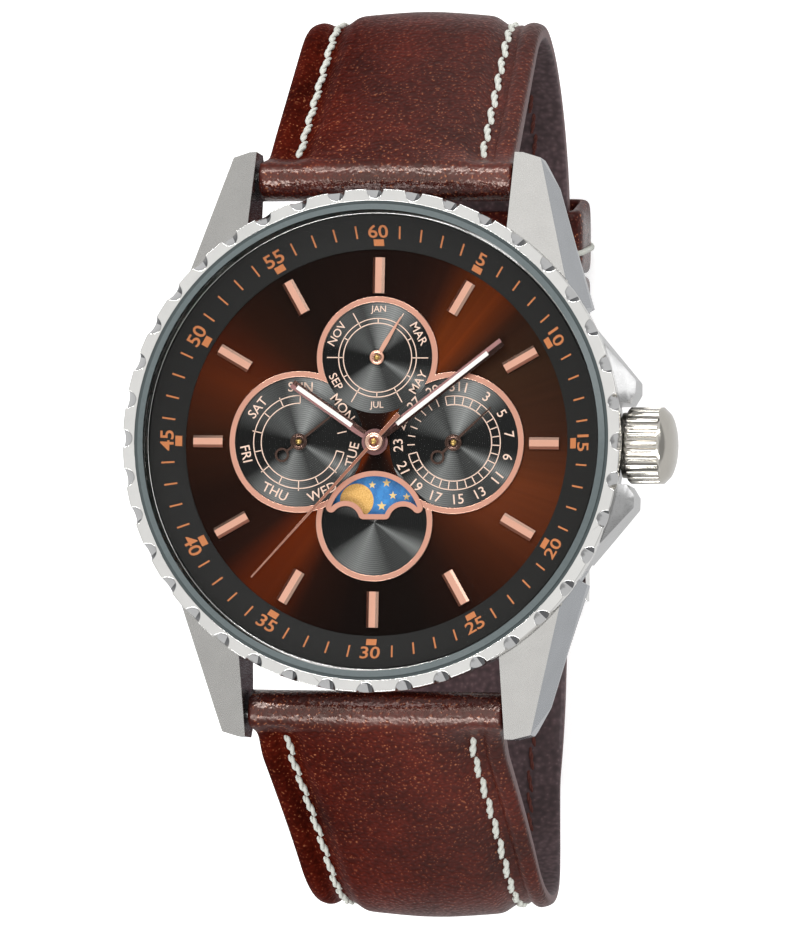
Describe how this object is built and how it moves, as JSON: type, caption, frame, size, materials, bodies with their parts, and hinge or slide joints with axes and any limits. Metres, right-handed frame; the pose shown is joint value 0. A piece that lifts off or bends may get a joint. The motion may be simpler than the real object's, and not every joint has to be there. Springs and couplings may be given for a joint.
{
  "type": "quartz watch",
  "caption": "Round steel calendar watch with small weekday, date, month and moon dials, a knurled crown and a padded leather strap buckled in a closed loop.",
  "frame": {"origin": "on the hand axis, in the outer face of the case back", "axes": "+Z out through the crystal, +Y towards 12 o'clock, +X towards the crown"},
  "size_m": [0.0462, 0.0782, 0.0488],
  "materials": {
    "steel_case": "brushed facets with polished edges",
    "steel_polished": "mirror polished",
    "crystal_glass": "clear mineral glass with a bevelled edge",
    "gasket_nylon": "satin grey nylon",
    "seal_rubber": "matt black",
    "chapter_dark": "satin charcoal with copper print",
    "dial_brown": "sunburst lacquer",
    "rose_gold": "rose gold plate",
    "hand_dark": "dark plated",
    "subdial_black": "fine concentric grooves",
    "moon_blue": "satin blue with gold moons",
    "lume": "matt white luminous paint",
    "movement_brass": "satin brass",
    "movement_steel": "fine ground steel",
    "screw_steel": "polished screw heads",
    "rotor_magnet": "sintered magnet",
    "holder_plastic": "moulded ivory plastic",
    "battery_steel": "nickel plated",
    "board_green": "solder mask",
    "chip_black": "moulded epoxy",
    "copper_wire": "enamelled copper wire",
    "strap_leather": "padded dark brown leather with white stitches",
    "bar_steel": "plain steel",
    "buckle_steel": "polished steel"
  },
  "bodies": {
    "case": {"case_middle": "steel_case", "bezel": "steel_polished", "crystal": "crystal_glass", "crystal_gasket": "gasket_nylon", "chapter_ring": "chapter_dark", "case_back": "steel_case", "case_back_gasket": "seal_rubber", "case_back_screws": "screw_steel", "crown_tube": "movement_steel", "dial_plate": "dial_brown", "hour_markers": "rose_gold", "subdial_frame": "rose_gold", "subdial_plates": "subdial_black", "moon_window_frame": "rose_gold", "movement_holder": "holder_plastic", "main_plate": "movement_brass", "train_bridge": "movement_steel", "bridge_screws": "screw_steel", "battery": "battery_steel", "battery_clip": "movement_brass", "circuit_board": "board_green", "quartz_can": "battery_steel", "control_chip": "chip_black", "coil_core": "movement_steel", "coil_winding": "copper_wire", "stator": "movement_steel", "strap_upper": "strap_leather", "strap_lower": "strap_leather", "spring_bar_upper": "bar_steel", "spring_bar_lower": "bar_steel", "keeper_fixed": "strap_leather", "buckle_frame": "buckle_steel", "buckle_tang": "buckle_steel", "buckle_bar": "bar_steel"},
    "seconds_work": {"seconds_hand": "rose_gold", "seconds_wheel": "movement_brass"},
    "minute_work": {"minute_hand": "rose_gold", "minute_hand_lume": "lume", "cannon_pinion": "movement_brass"},
    "hour_work": {"hour_hand": "rose_gold", "hour_hand_lume": "lume", "hour_wheel": "movement_brass"},
    "rotor_work": {"rotor": "rotor_magnet"},
    "intermediate_work": {"intermediate_wheel": "movement_brass"},
    "third_work": {"third_wheel": "movement_brass"},
    "minute_wheel_work": {"minute_wheel": "movement_brass"},
    "weekday_work": {"day_hand": "hand_dark", "day_wheel": "movement_brass"},
    "date_work": {"date_hand": "hand_dark", "date_wheel": "movement_brass"},
    "month_work": {"month_hand": "rose_gold", "month_wheel": "movement_brass"},
    "moon_work": {"moon_disc": "moon_blue", "moon_wheel": "movement_brass"},
    "crown_seal": {"crown_gasket": "seal_rubber"},
    "crown_unit": {"crown": "steel_polished", "winding_stem": "movement_steel"},
    "clutch": {"clutch_wheel": "movement_brass"},
    "lever": {"setting_lever": "movement_steel"},
    "keeper_loose": {"keeper_sliding": "strap_leather"}
  },
  "joints": [
    {"name": "seconds_turn", "type": "hinge", "parent": "case", "child": "seconds_work", "pos_m": [0, 0, 0.0069], "axis": [0, 0, -1], "continuous": true},
    {"name": "minute_turn", "type": "hinge", "parent": "case", "child": "minute_work", "pos_m": [0, 0, 0.0065], "axis": [0, 0, -1], "continuous": true},
    {"name": "hour_turn", "type": "hinge", "parent": "case", "child": "hour_work", "pos_m": [0, 0, 0.0062], "axis": [0, 0, -1], "continuous": true},
    {"name": "rotor_turn", "type": "hinge", "parent": "case", "child": "rotor_work", "pos_m": [-0.00232, 0.00402, 0.0025], "axis": [0, 0, -1], "continuous": true},
    {"name": "intermediate_turn", "type": "hinge", "parent": "case", "child": "intermediate_work", "pos_m": [-0.0012, 0.00208, 0.0025], "axis": [0, 0, -1], "continuous": true},
    {"name": "third_turn", "type": "hinge", "parent": "case", "child": "third_work", "pos_m": [0.00128, -0.00221, 0.0025], "axis": [0, 0, -1], "continuous": true},
    {"name": "minute_wheel_turn", "type": "hinge", "parent": "case", "child": "minute_wheel_work", "pos_m": [0.00212, 0.00212, 0.0045], "axis": [0, 0, -1], "continuous": true},
    {"name": "weekday_turn", "type": "hinge", "parent": "case", "child": "weekday_work", "pos_m": [-0.0065, 0, 0.0059], "axis": [0, 0, -1], "continuous": true},
    {"name": "date_turn", "type": "hinge", "parent": "case", "child": "date_work", "pos_m": [0.0066, 0, 0.0059], "axis": [0, 0, -1], "continuous": true},
    {"name": "month_turn", "type": "hinge", "parent": "case", "child": "month_work", "pos_m": [0, 0.0071, 0.0059], "axis": [0, 0, -1], "continuous": true},
    {"name": "moon_turn", "type": "hinge", "parent": "case", "child": "moon_work", "pos_m": [0, -0.0067, 0.005], "axis": [0, 0, -1], "continuous": true},
    {"name": "crown_pull", "type": "slide", "parent": "case", "child": "crown_seal", "axis": [1, 0, 0], "range_m": [0, 0.0012]},
    {"name": "crown_turn", "type": "hinge", "parent": "crown_seal", "child": "crown_unit", "pos_m": [0.021, 0, 0.0039], "axis": [1, 0, 0], "continuous": true},
    {"name": "clutch_slide", "type": "slide", "parent": "crown_unit", "child": "clutch", "axis": [1, 0, 0], "range_m": [-0.0016, 0]},
    {"name": "lever_swing", "type": "hinge", "parent": "case", "child": "lever", "pos_m": [0.0116, 0.0021, 0.0045], "axis": [0, 0, 1], "range_deg": [0, 31.9]},
    {"name": "keeper_slide", "type": "hinge", "parent": "case", "child": "keeper_loose", "pos_m": [0, 0.01836, -0.0155], "axis": [1, 0, 0], "range_deg": [-0.5, 38]}
  ],
  "couplings": [
    {"joint": "seconds_turn", "follows": "minute_turn", "ratio": 60},
    {"joint": "hour_turn", "follows": "minute_turn", "ratio": 0.083333},
    {"joint": "third_turn", "follows": "minute_turn", "ratio": -8},
    {"joint": "minute_wheel_turn", "follows": "minute_turn", "ratio": -0.33333},
    {"joint": "intermediate_turn", "follows": "minute_turn", "ratio": -300},
    {"joint": "rotor_turn", "follows": "minute_turn", "ratio": 1800},
    {"joint": "clutch_slide", "follows": "crown_pull", "ratio": -1.3333},
    {"joint": "lever_swing", "follows": "crown_pull", "rad_per_m": 463.9}
  ]
}
